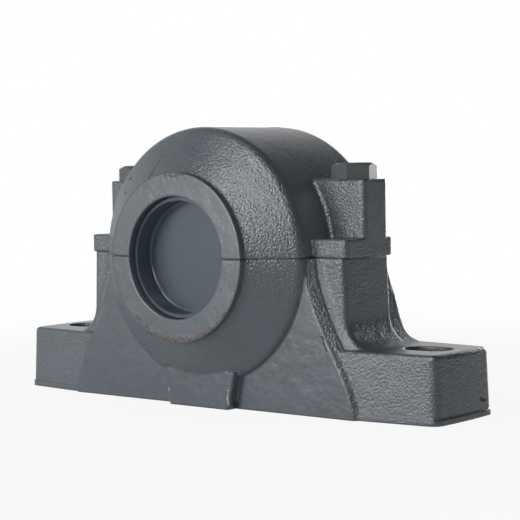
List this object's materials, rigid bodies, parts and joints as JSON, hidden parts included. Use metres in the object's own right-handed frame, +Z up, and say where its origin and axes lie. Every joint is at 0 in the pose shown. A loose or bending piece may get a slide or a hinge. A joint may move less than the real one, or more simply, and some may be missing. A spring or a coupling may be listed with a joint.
{
  "type": "split plummer block",
  "caption": "Cast two-piece bearing housing on slotted feet, closed by a cover at one end, holding a self-aligning ball bearing on an adapter sleeve.",
  "frame": {"origin": "centre of the base face", "axes": "+X along the feet, +Y along the shaft out of the open end, +Z up; the closed end with its cover faces -Y"},
  "size_m": [0.25, 0.098, 0.1295],
  "materials": {
    "cast_body": "coarse sand-cast iron under grey-blue paint",
    "zinc_steel": "dull zinc-plated steel",
    "ground_steel": "finely ground bearing steel",
    "dark_steel": "blackened steel",
    "cage_steel": "pressed sheet steel",
    "ball_steel": "polished bearing balls",
    "cover_paint": "smooth grey-blue paint",
    "black_rubber": "black nitrile rubber"
  },
  "bodies": {
    "housing": {"housing_base": "cast_body", "housing_cap": "cast_body", "cap_bolt_left": "zinc_steel", "cap_bolt_right": "zinc_steel", "dowel_pin_left": "ground_steel", "dowel_pin_right": "ground_steel", "grease_plug": "zinc_steel", "end_cover": "cover_paint", "end_cover_ring": "black_rubber", "seal_half_upper": "black_rubber", "seal_half_lower": "black_rubber", "locating_ring_front": "ground_steel", "locating_ring_rear": "ground_steel", "bearing_outer_ring": "ground_steel"},
    "inner_set": {"bearing_inner_ring": "ground_steel", "adapter_sleeve": "dark_steel", "lock_washer": "dark_steel", "lock_nut": "dark_steel"},
    "cage_set": {"bearing_cage": "cage_steel", "ball_row_front": "ball_steel", "ball_row_rear": "ball_steel"}
  },
  "joints": [
    {"name": "shaft_spin", "type": "hinge", "parent": "housing", "child": "inner_set", "pos_m": [0, 0, 0.07], "axis": [0, 1, 0], "continuous": true},
    {"name": "cage_spin", "type": "hinge", "parent": "housing", "child": "cage_set", "pos_m": [0, 0, 0.07], "axis": [0, 1, 0], "continuous": true}
  ],
  "couplings": [
    {"joint": "cage_spin", "follows": "shaft_spin", "ratio": 0.4396}
  ]
}
